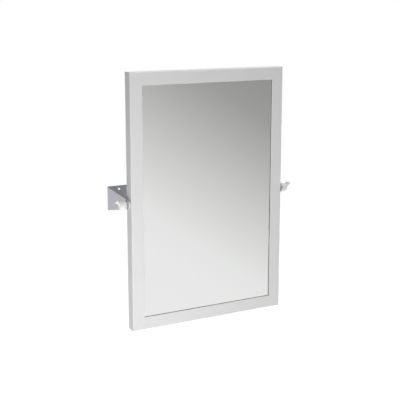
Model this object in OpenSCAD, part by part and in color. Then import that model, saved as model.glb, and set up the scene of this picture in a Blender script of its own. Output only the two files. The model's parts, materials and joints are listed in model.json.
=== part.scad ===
// Pivot wall mirror: a framed mirror that tilts between two wall brackets.
// Millimetres. X runs to the viewer's right, Y into the wall, Z up.
// The origin lies on the wall face, midway between the four wall holes.

/* [Mirror frame] */
// Width of the frame, outside to outside
frame_w = 400; // [320:10:600]
// Height of the frame, outside to outside
frame_h = 600; // [450:10:900]
// Depth of the frame, front face to rear face
frame_depth = 28; // [26:1:40]
// Width of the bar that shows from the front
bar_face_w = 30; // [26:1:45]
// Width of the lip that each bar turns in at the rear
bar_return_w = 15; // [13:1:20]
// Thickness of the sheet that the bars are folded from
sheet_t = 1.5; // [1:0.1:2]
// Outside radius of the folds in the bars
bar_bend_r = 2.5; // [2.5:0.5:4]
// Hairline left between two bars at each mitre
mitre_gap = 0.1; // [0.05:0.05:0.4]

/* [Glazing] */
// Thickness of the mirror glass
glass_t = 4; // [3:0.5:6]
// Thickness of the safety film behind the glass
film_t = 0.3; // [0.1:0.1:0.6]
// Gap between the edge of the glass and the web of the bar
glass_edge_gap = 3; // [2:0.5:4]
// Thickness of the gasket between the bar and the glass
gasket_t = 1.5; // [1:0.25:2.5]
// Width of the gasket strip
gasket_w = 9.5; // [5:0.5:12]
// How far the gasket stays back from the edge of the opening
gasket_setback = 0.5; // [0:0.25:2]
// Length of the setting blocks that centre the glass
block_l = 30; // [15:5:60]
// Distance of the setting blocks from the corners of the frame
block_from_corner = 90; // [70:5:120]

/* [Back] */
// Thickness of the backing panel
panel_t = 3; // [2:0.5:4]
// Gap all round the backing panel
panel_gap = 0.5; // [0.25:0.25:1.5]
// Width of the foam strips between the film and the panel
foam_w = 20; // [10:1:40]
// Distance of the foam strips from the outside of the frame
foam_inset = 20; // [19:1:30]
// Diameter of the panel screws
screw_d = 3.5; // [3:0.5:4.5]
// Length of the panel screws under the head
screw_l = 8; // [6:1:12]
// Diameter of the screw heads
screw_head_d = 7; // [6:0.5:9]
// Height of the screw heads
screw_head_h = 2; // [1.5:0.25:3]
// Height of the rim below the dome of the screw heads
screw_rim_h = 0.5; // [0.3:0.1:0.8]
// Width of the cross recess in the screw heads
screw_slot_w = 1; // [0.6:0.1:1.4]
// Distance of the panel screws from the outside of the frame
screw_inset = 8; // [7:0.5:8.5]
// Distance of the end screws from the corners of the frame
screw_from_corner = 70; // [50:5:100]
// Number of screws along the top, and along the bottom
screws_per_rail = 3; // [2:1:5]
// Number of screws along each side
screws_per_stile = 4; // [2:2:8]

/* [Corner keys] */
// Length of each leg of a corner key
key_leg = 45; // [30:5:60]
// Thickness of the corner keys
key_t = 3; // [2:0.5:4]
// Depth of the corner keys, front to back
key_depth = 12; // [8:1:13]

/* [Brackets] */
// Height of each bracket at the wall
bracket_h = 57; // [51:1:90]
// Thickness of the bracket steel
bracket_t = 3; // [2.5:0.5:4.5]
// Outside radius of the bracket's bend
bracket_bend_r = 5; // [5:0.5:8]
// Width of the plate that lies on the wall
wall_plate_w = 62; // [52:2:80]
// Corner radius of the wall plate
wall_plate_r = 4; // [1:0.5:8]
// Distance of the pivot from the wall
pivot_to_wall = 115; // [80:5:160]
// Height of the pivot above the middle of the wall plate
pivot_rise = 7; // [0:1:11]
// Radius of the bracket's round nose
nose_r = 12; // [11:0.5:17]
// Height of the nose's centre above the pivot
nose_rise = 1.5; // [0:0.5:3]
// Gap between the side of the frame and the bracket's cheek
cheek_gap = 4; // [3:0.5:14]
// Diameter of the wall screw holes
wall_hole_d = 5.5; // [4:0.5:7]
// Distance of the wall screw holes from the cheek's outer face
wall_hole_inset = 31; // [20:1:38]
// Distance between the two wall screw holes of a bracket
wall_hole_pitch = 40; // [30:2:42]

/* [Pivots] */
// Forward lean of the mirror, in degrees, with 0 parallel to the wall
lean = 0; // [-15:1:15]
// Diameter of the clamping stud
stud_d = 8; // [6:1:8]
// Diameter of the bearing spigot on each spacer
spigot_d = 12; // [11:0.5:14]
// Diameter of the spacers
spacer_d = 16; // [15:0.5:22]
// Radial clearance of the turning fits
running_gap = 0.05; // [0.02:0.01:0.09]
// End clearance between faces that turn on each other
end_gap = 0.15; // [0.05:0.05:0.3]
// Outside diameter of the threaded inserts
insert_d = 11; // [10.5:0.5:12]
// Length of the threaded inserts inside the frame
insert_l = 15; // [10:1:18]
// Diameter of the insert's flange
insert_flange_d = 13; // [12.5:0.25:14]
// Thickness of the insert's flange
insert_flange_t = 1; // [0.6:0.2:1.6]
// Length of the stiffening plates behind the inserts
stiffener_l = 80; // [40:5:120]
// Gap between a stiffening plate and the layers in front of it and behind it
stiffener_gap = 0.6; // [0.4:0.1:1]
// Thickness of the stiffening plates
stiffener_t = 3; // [2:0.5:4]
// Diameter of the collar where the insert is upset behind its plate
upset_d = 13; // [12.5:0.5:14]
// Length of that collar
upset_l = 3; // [2:0.5:5]

/* [Clamping knobs] */
// Diameter of the washer under each knob
washer_d = 20; // [17:1:26]
// Thickness of that washer
washer_t = 1.6; // [1:0.2:2.4]
// Diameter of the knob's round hub
knob_d = 21; // [19:1:24]
// Length of the straight rim at the hub's foot
knob_rim_t = 3; // [1.5:0.5:4]
// Length of the hub
hub_l = 17; // [15.5:0.5:20]
// Reach of the arm, measured outwards from the washer
knob_reach = 26.5; // [25:0.5:34]
// Height of the arm's top above the pivot
knob_rise = 12.5; // [12:0.5:20]
// Thickness of the arm's end
tip_t = 3; // [2:0.5:5]
// Height that the arm's top drops towards its end
tip_drop = 1.5; // [0.5:0.5:3]
// Length of the arm's top, measured outwards
tip_run = 7; // [6:0.5:9]
// Width of the arm, front to back
arm_w = 11; // [8:0.5:15]
// Depth of the stud's collar in the knob
collar_l = 6; // [4:0.5:8]
// Diameter of the stud's collar
collar_d = 12; // [11:0.5:12.5]
// Depth of the stud in the knob
stud_in_knob = 12; // [9:0.5:13]
// Bevel at the free end of the stud
stud_bevel = 0.8; // [0.4:0.1:1.2]

/* [Hidden] */
$fn = 64;

// Depths from the front face of the frame, in the order in which the layers lie
glass_y = sheet_t + gasket_t;
film_y = glass_y + glass_t;
foam_y = film_y + film_t;
panel_y = frame_depth - sheet_t - panel_t;

// Depth of the pivots: the middle of the hollow between the film and the panel
pivot_depth = (foam_y + panel_y) / 2;
stiffener_w = panel_y - foam_y - 2 * stiffener_gap;

// Half sizes and distances from the middle of the mirror
half_w = frame_w / 2;
half_h = frame_h / 2;
web_x = half_w - sheet_t;
web_z = half_h - sheet_t;
glass_half_w = web_x - glass_edge_gap;
glass_half_h = web_z - glass_edge_gap;

// Distances from the middle of the mirror, outwards along the pivot axis
cheek_in = half_w + cheek_gap;
cheek_out = cheek_in + bracket_t;
washer_in = cheek_out + end_gap;
washer_out = washer_in + washer_t;
knob_in = washer_out + end_gap;

// Radial play of the parts that are pressed together
press_gap = 0.02;
// Radial play of the panel screws in the bars
screw_play = 0.15;
// Overshoot of the cuts
cut = 1;
// Number of steps along a curve
curve_steps = 12;

// How the knob's curves are drawn out, as shares of the way from their first end to their last:
// the outline of the hub
hub_pull = [[0.65, 0], [1, 0.25]];
// the underside of the arm
under_pull = [[0.2, 0.375], [0.51, 0.625]];
// the upper side of the arm
upper_pull = [[0.3, 0.27], [0.41, 0.91]];
// Where the arm's sides start in the hub, as shares of its length and of its radius
under_root = [0.9, 0];
upper_root = [0.65, 0.67];

/* Helpers */

// Puts what is drawn in the mirror's own frame (x, depth from the front face, z) in its place
module on_mirror() {
    translate([0, -pivot_to_wall, pivot_rise])
        rotate([lean, 0, 0])
            translate([0, -pivot_depth, 0])
                children();
}

// Puts what is drawn around the X axis on the pivot axis
module on_pivot() {
    translate([0, -pivot_to_wall, pivot_rise]) rotate([lean, 0, 0]) children();
}

// Puts what is drawn around the X axis on the pivot axis, without the lean
module on_bracket() {
    translate([0, -pivot_to_wall, pivot_rise]) children();
}

// The left piece is the mirror image of the right one
module left() {
    mirror([1, 0, 0]) children();
}

module x_rod(from, to, d) {
    translate([from, 0, 0]) rotate([0, 90, 0]) cylinder(h = to - from, d = d);
}

// A plate in the XZ plane that reaches from depth `from` to depth `to`
module xz_plate(from, to) {
    translate([0, to, 0]) rotate([90, 0, 0]) linear_extrude(to - from) children();
}

// A plate in the YZ plane that reaches from `from` to `to` along X
module yz_plate(from, to) {
    translate([from, 0, 0]) rotate([90, 0, 90]) linear_extrude(to - from) children();
}

module in_four_corners() {
    for (flip_x = [0, 1], flip_z = [0, 1])
        mirror([flip_x, 0, 0]) mirror([0, 0, flip_z]) children();
}

// Rectangle from [0, 0] to [w, h], with the corner at the origin rounded
module fold_outline(w, h, r) {
    difference() {
        square([w, h]);
        translate([-cut, -cut]) square([r + cut, r + cut]);
    }
    translate([r, r]) circle(r);
}

/* Frame */

// Section of a bar: across the bar from its outer side, and back from its front face
module bar_section() {
    difference() {
        fold_outline(bar_face_w, frame_depth, bar_bend_r);
        translate([sheet_t, sheet_t])
            fold_outline(bar_face_w, frame_depth - 2 * sheet_t, bar_bend_r - sheet_t);
        translate([bar_return_w, sheet_t]) square([bar_face_w, frame_depth]);
    }
}

// What a bar keeps between its two mitres: `reach` is half the bar's length
module mitre_outline(reach) {
    inner = reach - bar_face_w - mitre_gap / 2;
    outer = reach - mitre_gap / 2;
    polygon([[-outer, 0], [outer, 0], [inner, -bar_face_w], [-inner, -bar_face_w]]);
}

// Clearance holes for the panel screws
module screw_holes(d) {
    for (p = screw_places())
        translate([p[0], panel_y - cut, p[1]])
            rotate([-90, 0, 0])
                cylinder(h = frame_depth - panel_y + 2 * cut, d = d);
}

module rail() {
    difference() {
        intersection() {
            translate([0, 0, half_h])
                rotate([0, 90, 0])
                    linear_extrude(frame_w, center = true)
                        bar_section();
            xz_plate(-cut, frame_depth + cut) translate([0, half_h]) mitre_outline(half_w);
        }
        screw_holes(screw_d + 2 * screw_play);
    }
}

module stile() {
    difference() {
        intersection() {
            translate([half_w, 0, 0])
                mirror([1, 0, 0])
                    linear_extrude(frame_h, center = true)
                        bar_section();
            xz_plate(-cut, frame_depth + cut)
                translate([half_w, 0]) rotate(-90) mitre_outline(half_h);
        }
        screw_holes(screw_d + 2 * screw_play);
        translate([0, pivot_depth, 0])
            x_rod(web_x - cut, half_w + cut, insert_d + 2 * press_gap);
    }
}

module corner_key() {
    key_y = pivot_depth - key_depth / 2;
    translate([web_x - key_leg, key_y, web_z - key_t]) cube([key_leg, key_depth, key_t]);
    translate([web_x - key_t, key_y, web_z - key_leg]) cube([key_t, key_depth, key_leg]);
}

/* Glazing */

// One mitred gasket strip along a bar whose half length is `reach`
module gasket_outline(reach) {
    far = bar_face_w - gasket_setback;
    near = far - gasket_w;
    outer = reach - near - mitre_gap / 2;
    inner = reach - far - mitre_gap / 2;
    polygon([[-outer, -near], [outer, -near], [inner, -far], [-inner, -far]]);
}

module block(along, across) {
    translate([-along / 2, glass_y, -across / 2]) cube([along, glass_t + film_t, across]);
}

/* Back */

// Evenly spaced places from -end to end
function row(count, end) = [for (i = [0:count - 1]) end * (2 * i / (count - 1) - 1)];

function screw_places() = concat(
    [
        for (z = [-half_h + screw_inset, half_h - screw_inset])
            for (x = row(screws_per_rail, half_w - screw_from_corner)) [x, z]
    ],
    [
        for (x = [-half_w + screw_inset, half_w - screw_inset])
            for (z = row(screws_per_stile, half_h - screw_from_corner)) [x, z]
    ]
);

module panel_screw() {
    recess_h = screw_head_h / 2;
    dome_h = screw_head_h - screw_rim_h;
    dome_r = (pow(screw_head_d / 2, 2) + pow(dome_h, 2)) / (2 * dome_h);
    rotate([90, 0, 0]) cylinder(h = screw_l, d = screw_d);
    difference() {
        rotate([-90, 0, 0])
            rotate_extrude()
                intersection() {
                    translate([0, screw_head_h - dome_r]) circle(dome_r);
                    square([screw_head_d / 2, screw_head_h]);
                }
        for (turn = [0, 90])
            rotate([0, turn, 0])
                translate([-screw_head_d / 4, screw_head_h - recess_h, -screw_slot_w / 2])
                    cube([screw_head_d / 2, screw_head_h, screw_slot_w]);
    }
}

/* Brackets */

// Where the line from `corner` touches the nose: on its upper side with side = 1, lower with -1
function nose_tangent(corner, side) =
    let (
        span = corner - [0, nose_rise],
        turn = atan2(span[1], span[0]) + side * acos(nose_r / norm(span))
    )
    [0, nose_rise] + nose_r * [cos(turn), sin(turn)];

// Outline of the cheek seen from the side: Y and Z from the pivot
module cheek_outline() {
    foot_y = pivot_to_wall;
    shoulder_y = foot_y - bracket_bend_r;
    top = bracket_h / 2 - pivot_rise;
    bottom = top - bracket_h;
    translate([0, nose_rise]) circle(nose_r);
    polygon([
        [foot_y, bottom], [foot_y, top], [shoulder_y, top],
        nose_tangent([shoulder_y, top], 1), [0, nose_rise],
        nose_tangent([shoulder_y, bottom], -1), [shoulder_y, bottom]
    ]);
}

// Outline of the bent plate seen from above: in from the cheek's outer face, and out from the wall
module bracket_bend() {
    reach = pivot_to_wall + nose_r;
    difference() {
        fold_outline(wall_plate_w, reach, bracket_bend_r);
        translate([bracket_t, bracket_t])
            fold_outline(wall_plate_w, reach, bracket_bend_r - bracket_t);
    }
}

// Outline of the bracket seen from the front, with the free corners of the wall plate rounded
module plate_outline() {
    straight = wall_plate_w - wall_plate_r;
    translate([0, -bracket_h / 2]) square([straight, bracket_h]);
    translate([0, wall_plate_r - bracket_h / 2])
        square([wall_plate_w, bracket_h - 2 * wall_plate_r]);
    for (side = [-1, 1])
        translate([straight, side * (bracket_h / 2 - wall_plate_r)]) circle(wall_plate_r);
}

// The right bracket
module bracket() {
    difference() {
        intersection() {
            translate([cheek_out, 0, 0])
                rotate([0, 0, 180])
                    linear_extrude(bracket_h, center = true)
                        bracket_bend();
            on_bracket() yz_plate(cheek_out - wall_plate_w - cut, cheek_out + cut) cheek_outline();
            translate([cheek_out, 0, 0])
                mirror([1, 0, 0])
                    xz_plate(-pivot_to_wall - nose_r - cut, cut)
                        plate_outline();
        }
        on_bracket() x_rod(cheek_in - cut, cheek_out + cut, spigot_d + 2 * running_gap);
        for (side = [-1, 1])
            translate([cheek_out - wall_hole_inset, cut, side * wall_hole_pitch / 2])
                rotate([90, 0, 0])
                    cylinder(h = bracket_t + 2 * cut, d = wall_hole_d);
    }
}

/* Pivots */

module stiffener() {
    difference() {
        translate([web_x - stiffener_t, pivot_depth - stiffener_w / 2, -stiffener_l / 2])
            cube([stiffener_t, stiffener_w, stiffener_l]);
        translate([0, pivot_depth, 0])
            x_rod(web_x - stiffener_t - cut, web_x + cut, insert_d + 2 * press_gap);
    }
}

// Threaded insert: a flange outside, and a collar upset behind the stiffening plate
module insert() {
    behind = web_x - stiffener_t;
    difference() {
        union() {
            x_rod(half_w, half_w + insert_flange_t, insert_flange_d);
            x_rod(half_w - insert_l, half_w, insert_d);
            x_rod(behind - upset_l, behind, upset_d);
        }
        x_rod(half_w - insert_l - cut, half_w + insert_flange_t + cut, stud_d + 2 * running_gap);
    }
}

module spacer() {
    flange_out = half_w + insert_flange_t;
    difference() {
        union() {
            x_rod(half_w, cheek_in - end_gap, spacer_d);
            x_rod(cheek_in - end_gap, cheek_out - end_gap, spigot_d);
        }
        x_rod(half_w - cut, flange_out, insert_flange_d + 2 * press_gap);
        x_rod(half_w, cheek_out + cut, stud_d + 2 * running_gap);
    }
}

/* Clamping knobs */

module washer() {
    difference() {
        x_rod(washer_in, washer_out, washer_d);
        x_rod(washer_in - cut, washer_out + cut, stud_d + 2 * running_gap);
    }
}

module stud() {
    free_end = half_w - insert_l + end_gap;
    x_rod(free_end + stud_bevel, knob_in + stud_in_knob, stud_d);
    translate([free_end, 0, 0])
        rotate([0, 90, 0])
            cylinder(h = stud_bevel, d1 = stud_d - 2 * stud_bevel, d2 = stud_d);
    x_rod(knob_in, knob_in + collar_l, collar_d);
}

// Point at share t of the curve from a to d with the handles b and c
function bezier(a, b, c, d, t) =
    pow(1 - t, 3) * a + 3 * t * pow(1 - t, 2) * b + 3 * t * t * (1 - t) * c + pow(t, 3) * d;

// Curve from a to d, with its two handles given as shares of the way between them
function curve(a, d, pull) =
    let (way = d - a, b = a + [pull[0][0] * way[0], pull[0][1] * way[1]],
         c = a + [pull[1][0] * way[0], pull[1][1] * way[1]])
    [for (i = [0:curve_steps]) bezier(a, b, c, d, i / curve_steps)];

// Outline of the hub: its radius, and the place outwards
hub_outline = [
    for (p = curve([knob_rim_t, knob_d / 2], [hub_l, 0], hub_pull)) [p[1], p[0]]
];

// Side of the arm, from its root in the hub along the underside and back over the top
arm_outline = concat(
    curve(
        [under_root[0] * hub_l, under_root[1] * knob_d / 2],
        [knob_reach, knob_rise - tip_drop - tip_t],
        under_pull
    ),
    [[knob_reach, knob_rise - tip_drop]],
    curve(
        [knob_reach - tip_run, knob_rise],
        [upper_root[0] * hub_l, upper_root[1] * knob_d / 2],
        upper_pull
    ),
    [[upper_root[0] * hub_l, 0]]
);

module knob() {
    difference() {
        translate([knob_in, 0, 0]) {
            rotate([0, 90, 0])
                rotate_extrude() polygon(concat([[0, 0], [knob_d / 2, 0]], hub_outline));
            xz_plate(-arm_w / 2, arm_w / 2) polygon(arm_outline);
        }
        x_rod(knob_in - cut, knob_in + collar_l, collar_d);
        x_rod(knob_in, knob_in + stud_in_knob, stud_d);
    }
}

/* Sub-parts */

module left_bracket() color("lightsteelblue") left() bracket();
module right_bracket() color("lightsteelblue") bracket();

module top_rail() color("gainsboro") on_mirror() rail();
module bottom_rail() color("gainsboro") on_mirror() mirror([0, 0, 1]) rail();
module left_stile() color("whitesmoke") on_mirror() left() stile();
module right_stile() color("gainsboro") on_mirror() stile();
module corner_keys() color("silver") on_mirror() in_four_corners() corner_key();

module glazing_gasket() {
    color("dimgray") on_mirror() xz_plate(sheet_t, glass_y) {
        for (turn = [0, 180]) {
            rotate(turn) translate([0, half_h]) gasket_outline(half_w);
            rotate(turn + 90) translate([0, half_w]) gasket_outline(half_h);
        }
    }
}

module mirror_glass() {
    color("lightgray") on_mirror()
        translate([-glass_half_w, glass_y, -glass_half_h])
            cube([2 * glass_half_w, glass_t, 2 * glass_half_h]);
}

module safety_film() {
    color("slategray") on_mirror()
        translate([-glass_half_w, film_y, -glass_half_h])
            cube([2 * glass_half_w, film_t, 2 * glass_half_h]);
}

module setting_blocks() {
    color("black") on_mirror() in_four_corners() {
        translate([half_w - block_from_corner, 0, web_z - glass_edge_gap / 2])
            block(block_l, glass_edge_gap);
        translate([web_x - glass_edge_gap / 2, 0, half_h - block_from_corner])
            block(glass_edge_gap, block_l);
    }
}

module foam_strips() {
    foam_t = panel_y - foam_y;
    side_x = half_w - foam_inset;
    end_z = half_h - foam_inset;
    inner_w = 2 * (side_x - foam_w);
    color("darkgray") on_mirror() {
        for (side = [-1, 1])
            translate([side * (side_x - foam_w / 2) - foam_w / 2, foam_y, -end_z])
                cube([foam_w, foam_t, 2 * end_z]);
        for (z = [-end_z, -foam_w / 2, end_z - foam_w])
            translate([-inner_w / 2, foam_y, z]) cube([inner_w, foam_t, foam_w]);
    }
}

module backing_panel() {
    panel_half_w = web_x - panel_gap;
    panel_half_h = web_z - panel_gap;
    color("white") on_mirror() difference() {
        translate([-panel_half_w, panel_y, -panel_half_h])
            cube([2 * panel_half_w, panel_t, 2 * panel_half_h]);
        screw_holes(screw_d);
    }
}

module panel_screws() {
    color("silver") on_mirror()
        for (p = screw_places()) translate([p[0], frame_depth, p[1]]) panel_screw();
}

module left_stiffener() color("silver") on_mirror() left() stiffener();
module right_stiffener() color("silver") on_mirror() stiffener();
module left_insert() color("gold") on_pivot() left() insert();
module right_insert() color("gold") on_pivot() insert();
module left_spacer() color("white") on_pivot() left() spacer();
module right_spacer() color("white") on_pivot() spacer();

module left_washer() color("silver") on_bracket() left() washer();
module right_washer() color("silver") on_bracket() washer();
module left_knob() color("ivory") on_bracket() left() knob();
module right_knob() color("ivory") on_bracket() knob();
module left_stud() color("silver") on_bracket() left() stud();
module right_stud() color("silver") on_bracket() stud();

left_bracket();
right_bracket();
top_rail();
bottom_rail();
left_stile();
right_stile();
corner_keys();
glazing_gasket();
mirror_glass();
safety_film();
setting_blocks();
foam_strips();
backing_panel();
panel_screws();
left_stiffener();
right_stiffener();
left_insert();
right_insert();
left_spacer();
right_spacer();
left_washer();
right_washer();
left_knob();
right_knob();
left_stud();
right_stud();
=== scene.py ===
# %% [markdown]
# # A pivot wall mirror
# A framed mirror hangs between two bent steel brackets. It tilts on a pin at each
# side, and a lever knob at each side clamps it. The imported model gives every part
# its place and its motion. This script gives the parts their looks, and makes again,
# with softer edges and finer forms, those that the eye rests on.

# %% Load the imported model
import json
import math

import bmesh
import bpy
import mathutils
from mathutils import Matrix, Vector


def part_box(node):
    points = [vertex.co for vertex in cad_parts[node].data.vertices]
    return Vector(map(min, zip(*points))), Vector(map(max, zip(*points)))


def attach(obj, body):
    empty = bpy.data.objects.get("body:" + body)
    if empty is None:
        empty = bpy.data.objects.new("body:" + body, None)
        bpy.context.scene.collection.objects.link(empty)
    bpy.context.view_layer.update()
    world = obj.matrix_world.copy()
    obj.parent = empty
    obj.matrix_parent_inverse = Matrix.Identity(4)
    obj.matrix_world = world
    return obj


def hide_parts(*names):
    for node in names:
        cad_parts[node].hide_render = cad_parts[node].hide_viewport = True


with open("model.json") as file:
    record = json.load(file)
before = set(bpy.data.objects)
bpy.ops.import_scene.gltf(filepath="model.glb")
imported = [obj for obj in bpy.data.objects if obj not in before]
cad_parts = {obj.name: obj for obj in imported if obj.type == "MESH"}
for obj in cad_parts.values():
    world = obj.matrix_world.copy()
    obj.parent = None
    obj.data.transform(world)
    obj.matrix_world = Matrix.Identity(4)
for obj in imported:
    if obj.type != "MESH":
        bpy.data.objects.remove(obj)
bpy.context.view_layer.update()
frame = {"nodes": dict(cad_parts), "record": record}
nodes = frame["nodes"]

# %% [markdown]
# ## Sizes
# Every size that a part's box can tell is read from the model, so that a new model
# changes this scene too. Those that a box can't tell, such as the thickness of the
# sheet and the radius of its folds, are written here, or where they are first needed.
# All are in metres.

# %% Sizes of the mirror
MM = 0.001
SHEET = 1.5 * MM
FOLD_RADIUS = 2.5 * MM
LIP_WIDTH = 15 * MM
CUT_EDGE_RADIUS = 0.3 * MM
MITRE_GAP = 0.1 * MM
STUD_DIAMETER = 8 * MM
THREAD_PITCH = 1.25 * MM

rail_low, rail_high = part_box("top_rail")
stile_low, stile_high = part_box("right_stile")
FRONT_Y, REAR_Y = rail_low.y, rail_high.y
bottom_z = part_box("bottom_rail")[0].z
MIDDLE_Z = (rail_high.z + bottom_z) / 2
HALF_WIDTH, HALF_HEIGHT = stile_high.x, (rail_high.z - bottom_z) / 2
BAR_WIDTH = stile_high.x - stile_low.x
washer_low, washer_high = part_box("right_washer")
PIVOT_Y = (washer_low.y + washer_high.y) / 2
PIVOT_Z = (washer_low.z + washer_high.z) / 2
print("bar width", round(BAR_WIDTH / MM, 2), "depth", round((REAR_Y - FRONT_Y) / MM, 2))
print("pivot axis at y, z =", round(PIVOT_Y / MM, 2), round(PIVOT_Z / MM, 2), "mm")

# %% [markdown]
# ## Arithmetic with sockets
# A shader or a Geometry Nodes tree is arithmetic drawn as boxes and wires. Clicking
# dozens of Math nodes together hides the formula, so a small class wraps a socket
# and adds the node for each `+`, `-`, `*` or `/`. Any other node comes from one
# method, which takes the node's type, its settings and what goes into its sockets.


# %% A socket that can be calculated with
class Wire:
    """An output socket. Arithmetic on it adds Math nodes to its tree."""

    def __init__(self, board, socket):
        self.board, self.socket = board, socket

    def math(self, operation, *others, first=None):
        values = [self, *others] if first is None else [first, self]
        return self.board.node(
            "ShaderNodeMath", {"operation": operation}, dict(enumerate(values))
        )

    def __add__(self, other):
        return self.math("ADD", other)

    def __sub__(self, other):
        return self.math("SUBTRACT", other)

    def __rsub__(self, other):
        return self.math("SUBTRACT", first=other)

    def __mul__(self, other):
        return self.math("MULTIPLY", other)

    def __truediv__(self, other):
        return self.math("DIVIDE", other)

    __radd__, __rmul__ = __add__, __mul__


class Board:
    """A node tree, with one method that adds any node."""

    def __init__(self, tree):
        self.tree = tree

    def node(self, kind, settings=None, sockets=None, output=0):
        made = self.tree.nodes.new(kind)
        for name, value in (settings or {}).items():
            if name == "stops":
                self.set_stops(made.color_ramp, value)
            else:
                setattr(made, name, value)
        for key, value in (sockets or {}).items():
            self.feed(made.inputs[key], value)
        return Wire(self, made.outputs[output]) if made.outputs else made

    def feed(self, socket, value):
        if isinstance(value, Wire):
            self.tree.links.new(value.socket, socket)
        else:
            socket.default_value = value

    def set_stops(self, ramp, stops):
        while len(ramp.elements) < len(stops):
            ramp.elements.new(0.5)
        for element, (position, colour) in zip(ramp.elements, stops):
            element.position, element.color = position, (*colour, 1)


# %% [markdown]
# ## Finishes
# Each finish is a Principled shader. What is the same all over, such as whether it is
# a metal, is set on the shader itself. What changes over the surface, such as the
# fine orange peel of a powder coat, comes from noise on Object coordinates, which
# stay with the part when the mirror tilts.


# %% A finish
class Finish(Board):
    def __init__(self, name, colour, roughness, metallic=0.0):
        self.material = bpy.data.materials.new(name)
        self.material.use_nodes = True
        super().__init__(self.material.node_tree)
        self.shader = self.tree.nodes["Principled BSDF"]
        self.set("Base Color", (*colour, 1))
        self.set("Roughness", roughness)
        self.set("Metallic", metallic)
        self.place = self.node("ShaderNodeTexCoord", output="Object")
        self.material.diffuse_color = (*colour, 1)

    def set(self, name, value):
        self.feed(self.shader.inputs[name], value)

    def stretched(self, factors):
        """Object coordinates with each axis times a factor."""
        return self.node(
            "ShaderNodeMapping", sockets={"Vector": self.place, "Scale": factors}
        )

    def noise(self, grain, detail=2.0, place=None):
        """Noise from 0 to 1, with grains of that size in metres."""
        return self.node(
            "ShaderNodeTexNoise",
            sockets={
                "Vector": place or self.place,
                "Scale": 1 / grain,
                "Detail": detail,
            },
        )

    def blend(self, share, first, second):
        """A colour between two, by a share from 0 to 1."""
        return self.node(
            "ShaderNodeMix",
            {"data_type": "RGBA"},
            {0: share, 6: (*first, 1), 7: (*second, 1)},
            output=2,
        )

    def bump(self, height, depth):
        """Gives the surface the relief `height`, which is `depth` metres deep."""
        self.set(
            "Normal",
            self.node("ShaderNodeBump", sockets={"Height": height, "Distance": depth}),
        )


# %% [markdown]
# ### Powder coat
# The frame is folded steel with a white powder coat. The coat is baked from a dry
# powder, so it is satin, almost even in colour, and has a faint orange peel with
# dimples about a millimetre wide. A bump of a few hundredths of a millimetre shows it.
# The white is kept neutral, because the colour of the light does the rest.


# %% White powder coat
def powder_coat():
    darker, white, lighter = (0.80, 0.80, 0.793), (0.82, 0.82, 0.815), (0.84, 0.84, 0.833)
    coat = Finish("white_powder_coat", white, 0.3)
    cloud = coat.noise(160 * MM)
    peel = coat.noise(1.4 * MM, detail=1.0)
    coat.set("Base Color", coat.blend(cloud, darker, lighter))
    coat.set("Roughness", 0.26 + peel * 0.1)
    coat.bump(peel, 0.02 * MM)
    return coat.material


# %% [markdown]
# ### Metals
# The brackets are bent from a strip with a satin grain that runs level, along the
# strip. Noise that is squeezed along Z and stretched along X and Y gives grain lines
# that turn the bend without a seam. The small plated parts have no grain, so they get
# a cloudy plating instead, over fine marks that run all ways.


# %% Satin steel with a level grain
def grained_steel(name, colour, roughness):
    along, across = 0.02, 2.5
    steel = Finish(name, colour, roughness, metallic=1.0)
    lines = steel.stretched((along, along, across))
    grain = steel.noise(1 * MM, detail=3.0, place=lines)
    haze = steel.noise(28 * MM)
    dull = tuple(0.9 * part for part in colour)
    bright = tuple(min(1, 1.06 * part) for part in colour)
    steel.set("Base Color", steel.blend(haze * 0.5 + grain * 0.5, dull, bright))
    steel.set("Roughness", (roughness - 0.07) + grain * 0.14)
    steel.bump(grain, 0.01 * MM)
    return steel.material


# %% Plated steel
def plated_steel(name, colour, roughness=0.34):
    steel = Finish(name, colour, roughness, metallic=1.0)
    cloud = steel.noise(4 * MM, detail=3.0)
    marks = steel.noise(0.35 * MM)
    dull = tuple(0.84 * part for part in colour)
    steel.set("Base Color", steel.blend(cloud, dull, colour))
    steel.set("Roughness", (roughness - 0.1) + cloud * 0.2)
    steel.bump(marks, 0.008 * MM)
    return steel.material


# %% [markdown]
# ### Mirror glass
# Mirror glass reflects from the silver at its back. At this size it looks the same as
# a polished metal with a breath of green, and that exports well, where real glass in
# front of silver would not. A faint haze keeps it from looking computed.


# %% Mirror glass
def silvered_glass():
    glass = Finish("silvered_glass", (0.92, 0.93, 0.925), 0.01, metallic=1.0)
    haze = glass.noise(90 * MM, detail=3.0)
    glass.set("Roughness", haze * 0.012)
    return glass.material


# %% [markdown]
# ### Plastics, rubber and foam
# What comes out of a mould is never quite even. Its colour is a little cloudy, and its
# surface has the fine texture of the mould. One function makes all of these, from the
# knobs to the foam, and only the grain, its depth and the shade of the clouds differ.


# %% Moulded finishes
def moulding(name, colour, roughness, grain, depth, shade=0.95):
    plastic = Finish(name, colour, roughness)
    cloud = plastic.noise(22 * MM, detail=3.0)
    texture = plastic.noise(grain, detail=2.0)
    darker = tuple(shade * part for part in colour)
    plastic.set("Base Color", plastic.blend(cloud, darker, colour))
    plastic.set("Roughness", (roughness - 0.05) + texture * 0.1)
    plastic.bump(texture, depth)
    return plastic.material


# %% [markdown]
# ### A finish for each slot
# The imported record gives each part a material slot. One finish is made for each slot
# here, and every CAD part gets its own at once, so that a part which keeps its CAD mesh
# is dressed as well.

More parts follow.
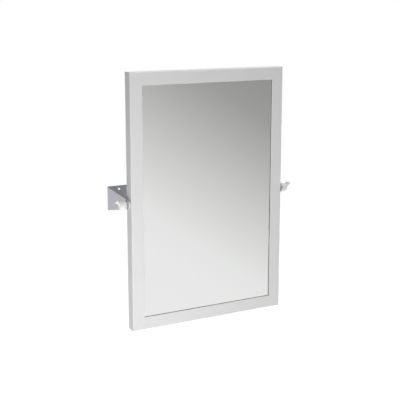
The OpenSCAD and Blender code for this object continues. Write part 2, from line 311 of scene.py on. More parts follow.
# %% All finishes, on the CAD parts
finishes = {
    "frame_coating": powder_coat(),
    "bracket_steel": grained_steel("satin_steel", (0.55, 0.55, 0.595), 0.36),
    "mirror_glass": silvered_glass(),
    "gasket_rubber": moulding(
        "gasket_rubber", (0.085, 0.085, 0.085), 0.6, 0.6 * MM, 0.02 * MM, 0.8
    ),
    "block_rubber": moulding(
        "block_rubber", (0.05, 0.05, 0.05), 0.7, 0.8 * MM, 0.03 * MM, 0.8
    ),
    "safety_film": moulding(
        "safety_film", (0.42, 0.45, 0.47), 0.35, 5 * MM, 0.05 * MM, 0.92
    ),
    "foam": moulding("closed_cell_foam", (0.3, 0.3, 0.31), 0.9, 0.7 * MM, 0.3 * MM, 0.7),
    "panel_board": moulding(
        "backing_board", (0.78, 0.78, 0.76), 0.5, 1.1 * MM, 0.06 * MM, 0.96
    ),
    "zinc_steel": plated_steel("zinc_plate", (0.62, 0.63, 0.65)),
    "screw_steel": plated_steel("screw_plate", (0.70, 0.70, 0.71), 0.3),
    "insert_steel": plated_steel("yellow_zinc", (0.66, 0.62, 0.48)),
    "washer_steel": plated_steel("washer_plate", (0.84, 0.85, 0.86), 0.3),
    "spacer_nylon": moulding(
        "spacer_nylon", (0.88, 0.88, 0.87), 0.42, 0.5 * MM, 0.01 * MM
    ),
    "knob_nylon": moulding(
        "knob_nylon", (0.86, 0.855, 0.83), 0.38, 0.45 * MM, 0.012 * MM, 0.97
    ),
}
slot_of = {
    part["node"]: part["material_slot"] for part in frame["record"]["subparts"]
}
for name, slot in slot_of.items():
    nodes[name].data.materials.clear()
    nodes[name].data.materials.append(finishes[slot])
print(len(finishes), "finishes on", len(slot_of), "parts")

# %% [markdown]
# ## Making a piece
# A new piece rides on the body of the CAD part that it stands for, and takes that
# part's finish. Its place lies in its mesh, so the object itself stays at the origin.
# Modifiers are not left on a piece: `evaluated` puts a mesh in the scene, lets Blender
# work the modifiers out, and keeps the result as a plain mesh. Shading belongs to a
# piece too. Plain smooth shading makes a flat face beside a small round look swollen, so
# `flat_and_round` weights the normals by the size of the faces that meet in a corner.

# %% Put a finished mesh in the scene
body_of = {
    part: body
    for body, parts in frame["record"]["behaviour"]["bodies"].items()
    for part in parts
}


def dress(name, mesh, part):
    """Shows `mesh` in place of the CAD part, on its body and in its finish."""
    mesh.materials.clear()
    mesh.materials.append(finishes[slot_of[part]])
    piece = bpy.data.objects.new(name, mesh)
    bpy.context.scene.collection.objects.link(piece)
    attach(piece, body_of[part])
    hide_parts(part)


def evaluated(mesh, name, *modifiers):
    """A plain mesh of `mesh` with these modifiers applied."""
    carrier = bpy.data.objects.new(name, mesh)
    bpy.context.scene.collection.objects.link(carrier)
    for kind, settings in modifiers:
        modifier = carrier.modifiers.new(kind.title(), kind)
        for key, value in settings.items():
            if isinstance(modifier, bpy.types.NodesModifier) and key != "node_group":
                modifier[key] = value
            else:
                setattr(modifier, key, value)
    bpy.context.view_layer.update()
    seen = carrier.evaluated_get(bpy.context.evaluated_depsgraph_get())
    result = bpy.data.meshes.new_from_object(seen)
    result.name = name
    bpy.data.objects.remove(carrier)
    return result


def smooth(mesh, angle=35):
    """Shades the mesh smooth, with edges sharper than `angle` degrees kept."""
    mesh.shade_smooth()
    mesh.set_sharp_from_angle(angle=math.radians(angle))
    return mesh


def flat_and_round(mesh, angle=35):
    """Smooth shading in which large faces stay flat and only the folds look round."""
    return evaluated(
        smooth(mesh, angle), mesh.name, ("WEIGHTED_NORMAL", {"keep_sharp": True})
    )


# %% [markdown]
# ## Geometry Nodes trees
# A tree gets its sizes through named inputs. The class below opens a tree, names its
# inputs, and turns their names into the identifiers that a modifier wants. Each tree
# ends by making its instances real and giving them a finish, because an instance is
# only a pointer to a mesh.


# %% A Geometry Nodes recipe
class Recipe(Board):
    def __init__(self, name, **inputs):
        """Opens a tree. Each input is `float` or the name of a kind of socket."""
        super().__init__(bpy.data.node_groups.new(name, "GeometryNodeTree"))
        self.tree.interface.new_socket(
            "Geometry", in_out="OUTPUT", socket_type="NodeSocketGeometry"
        )
        self.identifiers = {}
        for label, kind in inputs.items():
            kind = "NodeSocketFloat" if kind is float else kind
            made = self.tree.interface.new_socket(
                label, in_out="INPUT", socket_type=kind
            )
            self.identifiers[label] = made.identifier
        self.entry = self.tree.nodes.new("NodeGroupInput")

    def input(self, label):
        return Wire(self, self.entry.outputs[label])

    def position(self):
        """The x, y and z of each point."""
        spot = self.node("GeometryNodeInputPosition")
        split = self.tree.nodes.new("ShaderNodeSeparateXYZ")
        self.feed(split.inputs[0], spot)
        return [Wire(self, socket) for socket in split.outputs]

    def vector(self, x, y, z):
        return self.node("ShaderNodeCombineXYZ", sockets={0: x, 1: y, 2: z})

    def finish(self, geometry):
        """Ends the tree with real faces in the given finish."""
        real = self.node(
            "GeometryNodeRealizeInstances", sockets={"Geometry": geometry}
        )
        painted = self.node(
            "GeometryNodeSetMaterial",
            sockets={"Geometry": real, "Material": self.input("Finish")},
        )
        self.feed(self.tree.nodes.new("NodeGroupOutput").inputs[0], painted)

    def make(self, name, **values):
        """The plain mesh that the tree makes of these values."""
        settings = {"node_group": self.tree}
        for label, value in values.items():
            settings[self.identifiers[label]] = value
        return evaluated(bpy.data.meshes.new(name), name, ("NODES", settings))


# %% [markdown]
# ## The frame bars
# Each bar is one strip of sheet, folded twice: a face in front, a web at the side and
# a lip behind. The four bars meet in mitres. All four follow one rule, so one tree
# makes them: eight corner points give the section, a fillet rounds each corner by its
# own radius (wide at the folds, tiny where the sheet was cut), a straight line carries
# the section, and each end is drawn back by the distance from the bar's outer side,
# which is exactly a cut at 45 degrees. The pivot's hole in the web of a stile is left
# out, because the spacer covers it.


# %% The tree that folds a bar
FILLET_POINTS = 5


def bar_recipe():
    bar = Recipe(
        "folded_bar",
        Length=float,
        Face=float,
        Depth=float,
        Lip=float,
        Sheet=float,
        Fold=float,
        Edge=float,
        Gap=float,
        Finish="NodeSocketMaterial",
    )
    face, depth, lip = bar.input("Face"), bar.input("Depth"), bar.input("Lip")
    sheet, fold, edge = bar.input("Sheet"), bar.input("Fold"), bar.input("Edge")
    inner = depth - sheet
    # Each corner of the section, with its radius, in order around the sheet.
    corners = [
        (face, 0.0, edge),
        (0.0, 0.0, fold),
        (0.0, depth, fold),
        (lip, depth, edge),
        (lip, inner, edge),
        (sheet, inner, fold - sheet),
        (sheet, sheet, fold - sheet),
        (face, sheet, edge),
    ]
    index = bar.node("GeometryNodeInputIndex")

    def pick(kind, values):
        chosen = bar.tree.nodes.new("GeometryNodeIndexSwitch")
        chosen.data_type = kind
        while len(chosen.index_switch_items) < len(values):
            chosen.index_switch_items.new()
        bar.feed(chosen.inputs["Index"], index)
        for socket, value in zip(list(chosen.inputs)[1:], values):
            bar.feed(socket, value)
        return Wire(bar, chosen.outputs[0])

    points = pick("VECTOR", [bar.vector(x, y, 0.0) for x, y, _ in corners])
    radii = pick("FLOAT", [radius for _, _, radius in corners])
    line = bar.node("GeometryNodeMeshLine", sockets={"Count": len(corners)})
    placed = bar.node(
        "GeometryNodeSetPosition", sockets={"Geometry": line, "Position": points}
    )
    loop = bar.node(
        "GeometryNodeSetSplineCyclic",
        sockets={
            "Geometry": bar.node("GeometryNodeMeshToCurve", sockets={"Mesh": placed}),
            "Cyclic": True,
        },
    )
    section = bar.node(
        "GeometryNodeFilletCurve",
        {"mode": "POLY"},
        {"Curve": loop, "Count": FILLET_POINTS, "Radius": radii, "Limit Radius": True},
    )
    half = bar.input("Length") / 2
    spine = bar.node(
        "GeometryNodeCurvePrimitiveLine",
        sockets={
            "Start": bar.vector(0.0, 0.0, half * -1),
            "End": bar.vector(0.0, 0.0, half),
        },
    )
    swept = bar.node(
        "GeometryNodeCurveToMesh",
        sockets={"Curve": spine, "Profile Curve": section, "Fill Caps": True},
    )
    x, y, z = bar.position()
    reach = half - bar.input("Gap") / 2 - x
    mitred = bar.node(
        "GeometryNodeSetPosition",
        sockets={
            "Geometry": swept,
            "Position": bar.vector(x, y, z.math("SIGN") * reach),
        },
    )
    bar.finish(mitred)
    return bar


# %% [markdown]
# ### Four bars from one tree
# The tree draws a bar upright, with its outer side at x = 0, its face in front and its
# lip behind. A turn about Y lays it along its side of the frame, and a shift puts its
# outer side on the frame's edge. The cell prints the box of each bar, which should be
# that of the CAD part.

# %% The four bars
bar = bar_recipe()
BAR_SIZES = {
    "Face": BAR_WIDTH,
    "Depth": REAR_Y - FRONT_Y,
    "Lip": LIP_WIDTH,
    "Sheet": SHEET,
    "Fold": FOLD_RADIUS,
    "Edge": CUT_EDGE_RADIUS,
    "Gap": MITRE_GAP,
    "Finish": finishes["frame_coating"],
}
# Each bar: its part, its length, its turn about Y, and where its outer side lies.
BARS = [
    ("left_stile", 2 * HALF_HEIGHT, 0, (-HALF_WIDTH, 0)),
    ("right_stile", 2 * HALF_HEIGHT, 180, (HALF_WIDTH, 0)),
    ("top_rail", 2 * HALF_WIDTH, 90, (0, HALF_HEIGHT)),
    ("bottom_rail", 2 * HALF_WIDTH, -90, (0, -HALF_HEIGHT)),
]
for part, length, turn, (x, z) in BARS:
    mesh = bar.make(part + "_mesh", Length=length, **BAR_SIZES)
    mesh.transform(
        Matrix.Translation((x, FRONT_Y, MIDDLE_Z + z))
        @ Matrix.Rotation(math.radians(turn), 4, "Y")
    )
    dress("folded_" + part, flat_and_round(mesh), part)
    low = [min(v.co[i] for v in mesh.vertices) for i in range(3)]
    high = [max(v.co[i] for v in mesh.vertices) for i in range(3)]
    print(part, len(mesh.polygons), "faces", [round(a / MM, 2) for a in low + high])

# %% [markdown]
# ## Lofts
# A loft is a skin over a row of rings, all with the same number of points. It is the
# most useful way to make a shape that changes along its length, such as a lever, and
# a turned part is the simple case where each ring is a circle. If the last ring also
# joins the first, the skin is hollow, like a washer.


# %% A skin over rings
SIDES = 64


def circle(x, radius):
    """Points around the pivot axis, at one place along it."""
    turns = (2 * math.pi * i / SIDES for i in range(SIDES))
    return [
        (x, PIVOT_Y + radius * math.cos(turn), PIVOT_Z + radius * math.sin(turn))
        for turn in turns
    ]


def loft(name, rings, hollow=False):
    """A closed skin over the rings, which all have SIDES points."""
    shape = bmesh.new()
    loops = [[shape.verts.new(point) for point in ring] for ring in rings]
    following = loops[1:] + (loops[:1] if hollow else [])
    for near, far in zip(loops, following):
        for i in range(SIDES):
            shape.faces.new((near[i - 1], near[i], far[i], far[i - 1]))
    if not hollow:
        shape.faces.new(loops[0])
        shape.faces.new(loops[-1])
    bmesh.ops.recalc_face_normals(shape, faces=shape.faces)
    mesh = bpy.data.meshes.new(name)
    shape.to_mesh(mesh)
    shape.free()
    return mesh


def bevelled(mesh, name, width, angle=30):
    """The mesh with each edge sharper than `angle` degrees rounded."""
    rounding = {
        "width": width,
        "segments": 3,
        "limit_method": "ANGLE",
        "angle_limit": math.radians(angle),
    }
    return evaluated(mesh, name, ("BEVEL", rounding))


def dress_both(name, mesh, part):
    """Puts a right-hand piece in place, and its mirror image at the left."""
    image = mesh.copy()
    image.transform(Matrix.Scale(-1, 4, Vector((1, 0, 0))))
    image.flip_normals()
    for side, half in (("right_", mesh), ("left_", image)):
        dress(side + name, flat_and_round(half, 50), side + part)


# %% [markdown]
# ## Spacers and washers
# Each spacer is turned from white nylon: a wide part that keeps the frame clear of the
# bracket, and a spigot that turns in the bracket's hole. Its bore has a wider mouth for
# the flange of the threaded insert. The washer under the knob is a plain turned ring.
# Both get a small bevel, because an edge that catches no light looks like paper.

# %% Turned parts
BRACKET_SHEET = 3 * MM
SPIGOT_RADIUS = 6 * MM
BORE_RADIUS = STUD_DIAMETER / 2 + 0.05 * MM
FLANGE_RADIUS = 6.52 * MM
FLANGE_DEPTH = 1 * MM
TURNED_BEVEL = 0.35 * MM

# Each outline goes once round the section: a place along the axis, and a radius.
spacer_low, spacer_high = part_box("right_spacer")
spacer_radius = (spacer_high.z - spacer_low.z) / 2
shoulder = spacer_high.x - BRACKET_SHEET
spacer_outline = [
    (spacer_low.x, FLANGE_RADIUS),
    (spacer_low.x, spacer_radius),
    (shoulder, spacer_radius),
    (shoulder, SPIGOT_RADIUS),
    (spacer_high.x, SPIGOT_RADIUS),
    (spacer_high.x, BORE_RADIUS),
    (spacer_low.x + FLANGE_DEPTH, BORE_RADIUS),
    (spacer_low.x + FLANGE_DEPTH, FLANGE_RADIUS),
]
washer_radius = (washer_high.z - washer_low.z) / 2
washer_outline = [
    (washer_low.x, BORE_RADIUS),
    (washer_low.x, washer_radius),
    (washer_high.x, washer_radius),
    (washer_high.x, BORE_RADIUS),
]
for name, outline, part in [
    ("turned_spacer", spacer_outline, "spacer"),
    ("turned_washer", washer_outline, "washer"),
]:
    raw = loft(name + "_raw", [circle(x, radius) for x, radius in outline], hollow=True)
    dress_both(name, bevelled(raw, name, TURNED_BEVEL), part)
    print(name, "with", len(outline), "corners in its outline")

# %% [markdown]
# ## Brackets
# The exact model of a bracket is right in every size, and only its edges are knife
# sharp. So a copy of its mesh is merged, its flat triangles are joined into whole faces,
# and a Bevel modifier rounds the edges that the cutter left. The limit by angle leaves
# the bend itself alone.

# %% Brackets with eased edges
BRACKET_BEVEL = 0.45 * MM
SAME_PLACE = 0.001 * MM
FLAT_ANGLE = math.radians(1)


def merged_copy(part):
    """A clean copy of a CAD mesh: shared corners, and whole faces where it is flat."""
    shape = bmesh.new()
    shape.from_mesh(nodes[part].data)
    bmesh.ops.remove_doubles(shape, verts=shape.verts, dist=SAME_PLACE)
    bmesh.ops.dissolve_limit(
        shape, angle_limit=FLAT_ANGLE, verts=shape.verts, edges=shape.edges
    )
    mesh = bpy.data.meshes.new(part + "_merged")
    shape.to_mesh(mesh)
    shape.free()
    return mesh


for side in ("left", "right"):
    part = side + "_bracket"
    mesh = bevelled(merged_copy(part), part + "_eased", BRACKET_BEVEL)
    dress("eased_" + part, flat_and_round(mesh, 50), part)
    print(part, len(mesh.polygons), "faces")

# %% [markdown]
# ## Lever knobs
# A knob is a round hub, domed at its end, with an arm that rises out of its upper half
# and reaches outwards. Each of the two is easy to make: the hub is turned, and the arm
# is a loft between two lines, its underside and its upper side, drawn as curves with
# handles. Each ring of the arm joins a point of one line to the point of the other that
# lies as far along. What makes the two one moulding is the soft hollow where they meet:
# a Remesh modifier covers the joined pair with one even skin, and a Smooth modifier
# rolls the edges of that skin and fills its corners, as a mould maker would.

# %% The lines of the knob
knob_low, knob_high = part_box("right_knob")
HUB_RADIUS = (knob_high.y - knob_low.y) / 2
REACH = knob_high.x - knob_low.x
RISE = knob_high.z - PIVOT_Z
RIM, HUB_LENGTH = 3 * MM, 17 * MM
TIP_THICKNESS, TIP_DROP, TIP_RUN = 3 * MM, 1.5 * MM, 7 * MM
ARM_HALF_WIDTH = 5.5 * MM
COLLAR_RADIUS, COLLAR_DEPTH = 6 * MM, 6 * MM
STUD_DEPTH = 12 * MM
FOOT_EDGE = 0.6 * MM
# How each line is drawn out, as shares of the way from its start to its end.
HUB_PULLS = (0.65, 0), (1, 0.25)
UNDERSIDE_PULLS = (0.2, 0.375), (0.51, 0.625)
UPPER_PULLS = (0.59, 0.09), (0.7, 0.73)
# Where the arm leaves the hub, as shares of the hub's length and radius.
UNDERSIDE_ROOT = (0.9, 0)
UPPER_ROOT = (0.65, 0.67)
CURVE_POINTS = 24


def curve(start, pull_out, pull_in, end):
    """Points along a curve. Each pull is a share of the way from start to end."""
    start, end = Vector(start), Vector(end)
    handles = [start + Vector(pull) * (end - start) for pull in (pull_out, pull_in)]
    return mathutils.geometry.interpolate_bezier(start, *handles, end, CURVE_POINTS)


def flowing(line):
    """A function that gives the point at a share, 0 to 1, of the line's length."""
    ends = [0.0]
    for a, b in zip(line, line[1:]):
        ends.append(ends[-1] + (b - a).length)

    def at(share):
        goal = share * ends[-1]
        i = max(k for k in range(len(ends) - 1) if ends[k] <= goal)
        part = (goal - ends[i]) / (ends[i + 1] - ends[i])
        return line[i].lerp(line[i + 1], part)

    return at


hub_size = Vector((HUB_LENGTH, HUB_RADIUS))
tip_low = Vector((REACH, RISE - TIP_DROP - TIP_THICKNESS))
tip_high = Vector((REACH, RISE - TIP_DROP))
tip_back = Vector((REACH - TIP_RUN, RISE))
hub_line = curve((RIM, HUB_RADIUS), *HUB_PULLS, (HUB_LENGTH, 0))
under_line = curve(Vector(UNDERSIDE_ROOT) * hub_size, *UNDERSIDE_PULLS, tip_low)
upper_line = curve(Vector(UPPER_ROOT) * hub_size, *UPPER_PULLS, tip_back) + [tip_high]
underside, upper_side = flowing(under_line), flowing(upper_line)
print("hub", round(HUB_LENGTH / MM, 1), "mm long, arm reaches", round(REACH / MM, 1), "mm")

# %% [markdown]
# ### One skin for hub and arm
# The arm's section lies between an oval and a rectangle: `arm_ring` draws an oval out
# towards the rectangle's corners, the further the higher ARM_SQUARENESS is. Hub and arm
# are joined as they are, one running into the other. Remesh sets the pair on a grid as
# fine as SKIN_GRAIN and lays one skin round both. Each round of Smooth draws every
# corner towards its neighbours, which rolls the edges and fills the hollow. In the end
# the corners are held within the box of the CAD knob.

# %% Hub and arm as one skin
ARM_RINGS = 24
ARM_SQUARENESS = 5
SKIN_GRAIN = 0.3 * MM
SKIN_ROUNDS = 9


def arm_ring(share):
    """A ring across the arm: an oval drawn out towards a rectangle."""
    low, high = underside(share), upper_side(share)
    middle, across = (low + high) / 2, (high - low) / 2
    ring = []
    for i in range(SIDES):
        turn = 2 * math.pi * i / SIDES
        wide, tall = (
            math.copysign(abs(part) ** (2 / ARM_SQUARENESS), part)
            for part in (math.cos(turn), math.sin(turn))
        )
        spot = middle + across * tall
        y = PIVOT_Y + ARM_HALF_WIDTH * wide
        ring.append((knob_low.x + spot.x, y, PIVOT_Z + spot.y))
    return ring


hub_outline = [
    (STUD_DEPTH, STUD_DIAMETER / 2),
    (COLLAR_DEPTH, STUD_DIAMETER / 2),
    (COLLAR_DEPTH, COLLAR_RADIUS),
    (0, COLLAR_RADIUS),
    (0, HUB_RADIUS - FOOT_EDGE),
    (FOOT_EDGE, HUB_RADIUS),
    *hub_line[:-1],
]
hub = loft("hub", [circle(knob_low.x + depth, radius) for depth, radius in hub_outline])
arm = loft("arm", [arm_ring(i / ARM_RINGS) for i in range(ARM_RINGS + 1)])
both = bmesh.new()
both.from_mesh(hub)
both.from_mesh(arm)
both.to_mesh(hub)
both.free()
knob = evaluated(
    hub,
    "lever_knob",
    ("REMESH", {"mode": "VOXEL", "voxel_size": SKIN_GRAIN}),
    ("SMOOTH", {"factor": 0.5, "iterations": SKIN_ROUNDS}),
)
for corner in knob.vertices:
    corner.co = [
        min(max(value, low), high)
        for value, low, high in zip(corner.co, knob_low, knob_high)
    ]
dress_both("lever_knob", knob, "knob")
print("lever knob:", len(knob.polygons), "faces")

# %% [markdown]
# ## Screws at the back
# Fourteen pan-head screws hold the backing panel. One is made: rings round its own
# axis, a low dome, and a cross recess whose outline is worked out as a radius for each
# direction.

# %% One screw
SCREW_RADIUS, SCREW_LENGTH = 1.75 * MM, 8 * MM
HEAD_RADIUS, HEAD_HEIGHT, HEAD_RIM = 3.5 * MM, 2 * MM, 0.5 * MM
RECESS_REACH, RECESS_HALF, RECESS_DEPTH = 1.75 * MM, 0.42 * MM, 1 * MM
NEVER_ZERO = 1e-6
dome_height = HEAD_HEIGHT - HEAD_RIM


def screw_ring(height, radius):
    """A ring round the screw's axis. The radius may follow the direction, and the
    height the radius."""
    ring = []
    for i in range(SIDES):
        turn = 2 * math.pi * i / SIDES
        reach = radius(turn) if callable(radius) else radius
        level = height(reach) if callable(height) else height
        ring.append((reach * math.cos(turn), level, reach * math.sin(turn)))
    return ring


def dome(reach):
    """Height of the domed head at that distance from its middle."""
    return HEAD_HEIGHT - dome_height * (reach / HEAD_RADIUS) ** 2


def cross(size):
    """The outline of a plus sign, as a radius for each direction."""

    def radius(turn):
        along = abs(math.cos(turn)) + NEVER_ZERO
        across = abs(math.sin(turn)) + NEVER_ZERO
        arm = min(size * RECESS_REACH / along, RECESS_HALF / across)
        return max(arm, min(size * RECESS_REACH / across, RECESS_HALF / along))

    return radius


# From the point of the screw up its shank, over the head and down into the recess.
rings = [
    screw_ring(-SCREW_LENGTH, 0.3 * SCREW_RADIUS),
    screw_ring(-0.8 * SCREW_LENGTH, SCREW_RADIUS),
    screw_ring(0, SCREW_RADIUS),
    screw_ring(0, 0.96 * HEAD_RADIUS),
    screw_ring(0.3 * HEAD_RIM, HEAD_RADIUS),
    screw_ring(dome, 0.99 * HEAD_RADIUS),
    screw_ring(dome, 0.9 * HEAD_RADIUS),
    screw_ring(dome, 0.75 * HEAD_RADIUS),
    screw_ring(dome, 0.58 * HEAD_RADIUS),
    screw_ring(dome, cross(1.0)),
    screw_ring(HEAD_HEIGHT - RECESS_DEPTH, cross(0.6)),
]
screw = bpy.data.objects.new("one_screw", smooth(loft("one_screw", rings), 40))
print("one screw:", len(screw.data.polygons), "faces")

# %% [markdown]
# ### Rows of screws
# Fourteen copies by hand would be fourteen chances to be wrong, so a small tree sets
# them out. A line of points runs along each bar, and Instance on Points puts the screw
# on every one of them. The box of the CAD screws tells how far out the rows lie.

# %% Rows of screws
SCREWS_PER_RAIL, SCREWS_PER_STILE = 3, 4
SCREW_FROM_CORNER = 70 * MM


def row_recipe():
    rows = Recipe(
        "screws_in_rows",
        Screw="NodeSocketObject",
        Finish="NodeSocketMaterial",
    )
    low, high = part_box("panel_screws")
    reach_x, reach_z = high.x - HEAD_RADIUS, (high.z - low.z) / 2 - HEAD_RADIUS
    end_x, end_z = HALF_WIDTH - SCREW_FROM_CORNER, HALF_HEIGHT - SCREW_FROM_CORNER
    lines = rows.tree.nodes.new("GeometryNodeJoinGeometry")
    for count, start, end in [
        (SCREWS_PER_RAIL, (-end_x, reach_z), (end_x, reach_z)),
        (SCREWS_PER_RAIL, (-end_x, -reach_z), (end_x, -reach_z)),
        (SCREWS_PER_STILE, (reach_x, -end_z), (reach_x, end_z)),
        (SCREWS_PER_STILE, (-reach_x, -end_z), (-reach_x, end_z)),
    ]:
        line = rows.node(
            "GeometryNodeMeshLine",
            {"mode": "END_POINTS"},
            {
                "Count": count,
                "Start Location": (start[0], REAR_Y, MIDDLE_Z + start[1]),
                "Offset": (end[0], REAR_Y, MIDDLE_Z + end[1]),
            },
        )
        rows.feed(lines.inputs[0], line)
    screw_info = rows.node(
        "GeometryNodeObjectInfo",
        sockets={"Object": rows.input("Screw")},
        output="Geometry",
    )
    placed = rows.node(
        "GeometryNodeInstanceOnPoints",
        sockets={"Points": Wire(rows, lines.outputs[0]), "Instance": screw_info},
    )
    rows.finish(placed)
    return rows


mesh = row_recipe().make("screw_rows", Screw=screw, Finish=finishes["screw_steel"])
dress("pan_head_screws", smooth(mesh, 40), "panel_screws")
print("screws:", len(mesh.polygons), "faces")

# %% [markdown]
# ## Threaded studs
# A thread needs no new idea: it is a loft too, in which the radius of each ring follows
# the direction, and the pattern turns by one turn for each pitch along the stud. Both
# ends of the thread are chamfered. The collar and the smooth end are moulded into the
# knob.

# %% Studs
THREAD_DEPTH = 0.6 * MM
RINGS_PER_PITCH = 6
COLLAR_EDGE = 0.3 * MM
stud_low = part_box("right_stud")[0]


def thread_ring(x):
    """A ring of the thread: deepest where it meets the groove of the helix."""
    ring = []
    from_end = min(x - stud_low.x, knob_low.x - x)
    for i, (_, y, z) in enumerate(circle(x, 1.0)):
        turn = (x / THREAD_PITCH + i / SIDES) % 1
        depth = THREAD_DEPTH * abs(2 * turn - 1)
        depth = max(depth, THREAD_DEPTH - from_end)
        radius = STUD_DIAMETER / 2 - depth
        ring.append((x, PIVOT_Y + radius * (y - PIVOT_Y), PIVOT_Z + radius * (z - PIVOT_Z)))
    return ring


thread_length = knob_low.x - stud_low.x
steps = round(thread_length / THREAD_PITCH * RINGS_PER_PITCH)
thread = [thread_ring(stud_low.x + thread_length * i / steps) for i in range(steps + 1)]
collar = [
    circle(knob_low.x + depth, radius)
    for depth, radius in [
        (0, COLLAR_RADIUS - COLLAR_EDGE),
        (COLLAR_EDGE, COLLAR_RADIUS),
        (COLLAR_DEPTH, COLLAR_RADIUS),
        (COLLAR_DEPTH, STUD_DIAMETER / 2),
        (STUD_DEPTH, STUD_DIAMETER / 2),
    ]
]
mesh = loft("threaded_stud", thread + collar)
dress_both("threaded_stud", mesh, "stud")
print("stud:", len(mesh.polygons), "faces,", steps, "rings of thread")

# %% [markdown]
# ## Floor
# The photograph shows the mirror alone on white, so the floor must not be seen as a
# thing. It lies far below the mirror and is stage, not part of the object. To the
# camera it glows nearly white, matt parts get some light back from it, and to polished
# parts it is clear, because in them it would draw a horizon.

# %% Floor
FLOOR_DROP = 0.9
FLOOR_SIZE = 9.0
FLOOR_PAINT = (0.8, 0.8, 0.8, 1)
FLOOR_GLOW = 0.85
FLOOR_Z = MIDDLE_Z - HALF_HEIGHT - FLOOR_DROP
half = FLOOR_SIZE / 2
corners = [(-half, -half), (half, -half), (half, half), (-half, half)]
mesh = bpy.data.meshes.new("floor_mesh")
mesh.from_pydata([(x, y, FLOOR_Z) for x, y in corners], [], [(0, 1, 2, 3)])
floor = bpy.data.objects.new("floor", mesh)
bpy.context.scene.collection.objects.link(floor)
paint = bpy.data.materials.new("floor_paint")
paint.use_nodes = True
board = Board(paint.node_tree)
board.tree.nodes.clear()
path = board.tree.nodes.new("ShaderNodeLightPath")
seen = Wire(board, path.outputs["Is Camera Ray"])
mirrored = Wire(board, path.outputs["Is Glossy Ray"])
matt = board.node("ShaderNodeBsdfDiffuse", sockets={"Color": FLOOR_PAINT})
glow = board.node("ShaderNodeEmission", sockets={"Strength": seen * FLOOR_GLOW})
lit = board.node("ShaderNodeAddShader", sockets={0: matt, 1: glow})
clear = board.node("ShaderNodeBsdfTransparent")
surface = board.node("ShaderNodeMixShader", sockets={0: mirrored, 1: lit, 2: clear})
board.feed(board.tree.nodes.new("ShaderNodeOutputMaterial").inputs[0], surface)
mesh.materials.append(paint)
print("floor", FLOOR_DROP, "m below the mirror")

# %% [markdown]
# ## World
# The world answers each one who looks in another way. The camera sees plain white, as
# around the mirror in the photograph. Polished parts see a studio, whose greys give the
# mirror its shade. Matt parts get a weak, soft light. The Light Path node tells the
# three apart, and Generated gives the direction of the look, as how far it goes to the
# right, to the back and up.

# %% Who looks, and which way
world = bpy.data.worlds.new("studio")
bpy.context.scene.world = world
world.use_nodes = True
board = Board(world.node_tree)
board.tree.nodes.clear()
path = board.tree.nodes.new("ShaderNodeLightPath")
seen = Wire(board, path.outputs["Is Camera Ray"])
mirrored = Wire(board, path.outputs["Is Glossy Ray"])
way = board.node("ShaderNodeTexCoord", output="Generated")
split = board.tree.nodes.new("ShaderNodeSeparateXYZ")
board.feed(split.inputs[0], way)
sideways, backwards, upwards = [Wire(board, socket) for socket in split.outputs]
print("world:", world.name)

# %% [markdown]
# ### What polished parts see
# In front of the mirror the studio has one dark line, from which it brightens to white
# both downwards and upwards. The photograph is taken from the left, so its mirror looks
# to the right and down. There the line falls steeply to the right, and the shade in the
# mirror runs down and to the left, from grey to white. Further left the line stays
# nearly level. If it went on rising, the mirror would look far below it from the front
# and from the right, and turn into a plain white panel. The upper run is for a mirror
# that is tilted up: ABSOLUTE makes it from the lower one. Behind, where only the sides
# and backs of parts look, the studio is grey down to just below the horizon, and from
# there it brightens to a white floor.

# %% The studio in polished parts
# From the dark line outwards, as shares of the way to FRONT_REACH.
STUDIO_FRONT = [
    (0.0, (0.315, 0.315, 0.31)),
    (0.047, (0.355, 0.355, 0.35)),
    (0.10, (0.465, 0.465, 0.46)),
    (0.173, (0.64, 0.64, 0.63)),
    (0.267, (0.84, 0.84, 0.835)),
    (0.317, (0.87, 0.87, 0.865)),
    (1.0, (0.97, 0.97, 0.97)),
]
# From BEHIND_START downwards, as shares of the way to BEHIND_REACH.
STUDIO_BEHIND = [
    (0.0, (0.35, 0.35, 0.36)),
    (0.12, (0.7, 0.7, 0.71)),
    (0.27, (0.82, 0.82, 0.83)),
    (0.5, (0.88, 0.88, 0.88)),
    (1.0, (1, 1, 1)),
]
LINE_HEIGHT = 0.30
STEEP_SLOPE = 0.73
LEVEL_DROP, LEVEL_SLOPE, LEVEL_MOST = 0.36, 0.25, 0.40
FRONT_REACH = 0.90
BEHIND_START, BEHIND_REACH = -0.05, 0.30
FRONT_TO_BEHIND = 8

level_drop = (LEVEL_DROP - sideways * LEVEL_SLOPE).math("MINIMUM", LEVEL_MOST)
drop = (sideways * STEEP_SLOPE).math("MAXIMUM", level_drop)
run_front = ((LINE_HEIGHT - drop - upwards) / FRONT_REACH).math("ABSOLUTE")
run_behind = (BEHIND_START - upwards) / BEHIND_REACH
shades = [
    board.node("ShaderNodeValToRGB", {"stops": stops}, {0: run})
    for stops, run in ((STUDIO_FRONT, run_front), (STUDIO_BEHIND, run_behind))
]
shade = board.node(
    "ShaderNodeMix",
    {"data_type": "RGBA"},
    {0: backwards * FRONT_TO_BEHIND + 0.5, 6: shades[0], 7: shades[1]},
    output=2,
)
print("the studio has", len(STUDIO_FRONT), "shades in front,", len(STUDIO_BEHIND), "behind")

# %% [markdown]
# ### What matt parts get
# The soft light comes mostly from the right and hardly at all from the left, so that
# the frame's left side stays darker than its front, as in the photograph. It is cool
# from the left and a little warm from the right, as the white of the photograph's frame
# is. What faces the front gets both, and stays nearly neutral.

# %% Soft light, and the three together
SOFT_LIGHT, MORE_FROM_RIGHT, LESS_FROM_ABOVE = 0.3, 0.24, 0.05
COOL, WARM = (0.93, 0.91, 1.06, 1), (1.01, 1.02, 0.94, 1)
WHITE = (1, 1, 1, 1)

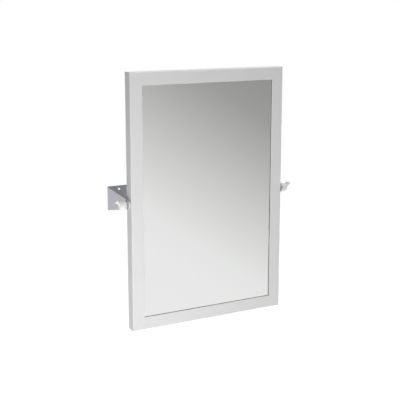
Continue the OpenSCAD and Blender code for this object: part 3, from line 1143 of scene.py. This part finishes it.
tint = board.node(
    "ShaderNodeMix",
    {"data_type": "RGBA"},
    {0: sideways * 0.5 + 0.5, 6: COOL, 7: WARM},
    output=2,
)
strength = SOFT_LIGHT + sideways * MORE_FROM_RIGHT - upwards * LESS_FROM_ABOVE
soft = board.node("ShaderNodeBackground", sockets={"Color": tint, "Strength": strength})
studio = board.node("ShaderNodeBackground", sockets={"Color": shade, "Strength": 1.0})
white = board.node("ShaderNodeBackground", sockets={"Strength": 1.0, "Color": WHITE})
not_eye = board.node("ShaderNodeMixShader", sockets={0: mirrored, 1: soft, 2: studio})
light = board.node("ShaderNodeMixShader", sockets={0: seen, 1: not_eye, 2: white})
board.feed(board.tree.nodes.new("ShaderNodeOutputWorld").inputs[0], light)
print("the world is made of", len(board.tree.nodes), "nodes")

# %% [markdown]
# ## Lamps
# The frame in the photograph is brightest at its lower left. So the key lamp stands
# there, low and well in front. Three lamps from above light the frame's top edge, the
# knob and the upper bars, two smaller ones at the left lift the frame's side, and one
# behind shows the edges at the back. A disk of light shows as a disk in a mirror, so
# the lamps are hidden from polished parts, which have the studio instead.


# %% Lamps
LILAC, PALE_BLUE = (0.93, 0.9, 1), (0.96, 1, 1)


def softbox(name, place, target, size, power, colour=(1, 1, 1)):
    """A round soft lamp at a place, aimed at a target, with its power in watts."""
    lamp = bpy.data.lights.new(name, "AREA")
    lamp.shape, lamp.size, lamp.energy, lamp.color = "DISK", size, power, colour
    holder = bpy.data.objects.new(name, lamp)
    bpy.context.scene.collection.objects.link(holder)
    holder.location = place
    holder.visible_glossy = False
    aim = Vector(target) - Vector(place)
    holder.rotation_euler = aim.to_track_quat("-Z", "Y").to_euler()
    print(name, "lamp,", power, "W")


softbox("key", (-0.7, -1.6, -0.8), (-0.1, -0.1, 0), 0.8, 16)
softbox("left_fill", (-0.55, -0.6, -0.05), (-0.2, -0.12, -0.05), 0.3, 0.6)
softbox("top", (1.0, 0.1, 1.2), (0.2, -0.1, 0.2), 0.6, 13)
softbox("knob_light", (-0.26, -0.12, 1.5), (-0.25, -0.12, 0), 0.3, 4.8)
softbox("upper_fill", (-0.35, -0.5, 1.4), (-0.2, -0.12, 0), 0.4, 1.6)
softbox("low_side", (-0.9, -0.2, -0.9), (-0.2, -0.1, -0.3), 0.4, 2.3, LILAC)
softbox("behind", (0, 1.4, 0.1), (-0.1, 0, 0), 0.8, 4.2, PALE_BLUE)

# %% [markdown]
# ## Camera
# Once the frame's size is known, the places of its corners in the photograph give the
# camera's place, its turn and the focal length. The photograph's uprights are parallel,
# which a level camera with a strongly shifted lens would give. But the views from other
# sides keep the shift, and would lose the top of the mirror. So only a little of it is
# used, and the camera is pitched down instead. The Standard view transform leaves the
# white background white, where a film-like one would grey it.

# %% Camera
LENS, SENSOR_WIDTH, LENS_SHIFT = 79.83, 36.0, -0.05
YAW, PITCH = math.radians(27.78), math.radians(11.33)
CAMERA_RISE = 0.451
CAMERA_PLACE = (-0.973, -1.930, MIDDLE_Z + CAMERA_RISE)

lens = bpy.data.cameras.new("photo_lens")
lens.lens, lens.sensor_width, lens.shift_y = LENS, SENSOR_WIDTH, LENS_SHIFT
camera = bpy.data.objects.new("photo_camera", lens)
bpy.context.scene.collection.objects.link(camera)
camera.location = CAMERA_PLACE
camera.rotation_euler = (math.pi / 2 - PITCH, 0, -YAW)
bpy.context.scene.camera = camera
bpy.context.scene.view_settings.view_transform = "Standard"
distance = (camera.location - Vector((0, FRONT_Y, MIDDLE_Z))).length
print("camera", round(distance, 2), "m from the middle of the mirror")
